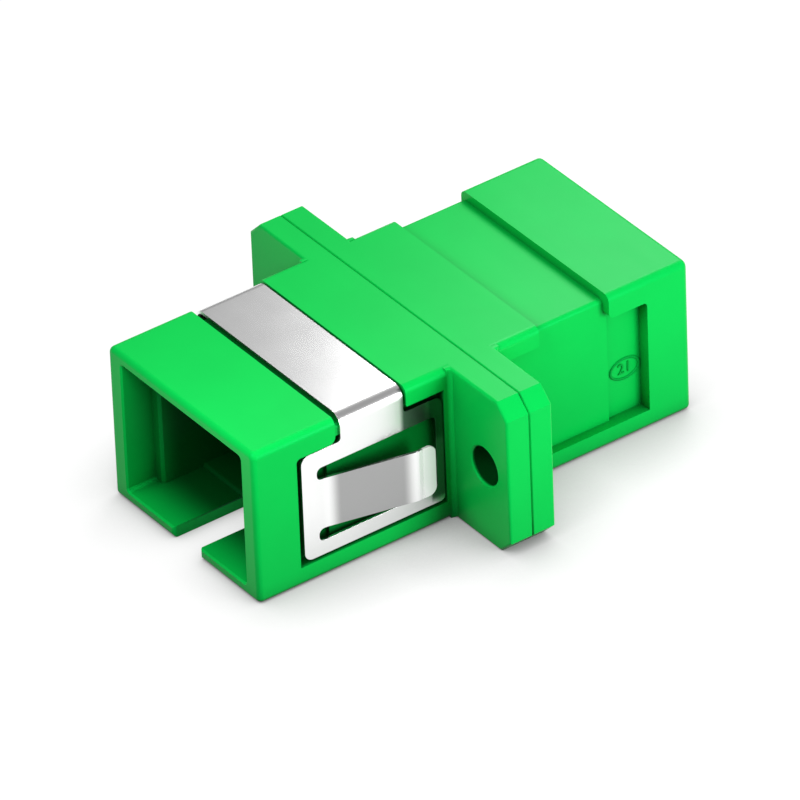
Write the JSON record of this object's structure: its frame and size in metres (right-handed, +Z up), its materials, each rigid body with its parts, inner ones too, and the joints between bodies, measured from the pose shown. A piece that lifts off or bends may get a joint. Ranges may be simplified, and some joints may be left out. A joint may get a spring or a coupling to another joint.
{
  "type": "fibre optic adapter",
  "caption": "Flanged fibre optic adapter that joins two rectangular push-pull plugs end to end, with a folded spring clip for snapping it into a panel.",
  "frame": {"origin": "centre of the sleeve bore, halfway along it, on the flange's middle plane", "axes": "+Y along the fibre from the port with the clip to the other port, +Z up from the wide face that it rests on, +X across the flange"},
  "size_m": [0.022, 0.0274, 0.0092],
  "materials": {
    "housing": "smooth moulded green",
    "holder": "smooth moulded green",
    "sleeve": "polished zirconia",
    "clip": "bright rolled spring steel"
  },
  "bodies": {
    "root": {"housing_front": "housing", "housing_rear": "housing", "inner_holder_front": "holder", "inner_holder_rear": "holder", "alignment_sleeve": "sleeve", "mounting_clip": "clip"}
  },
  "joints": []
}
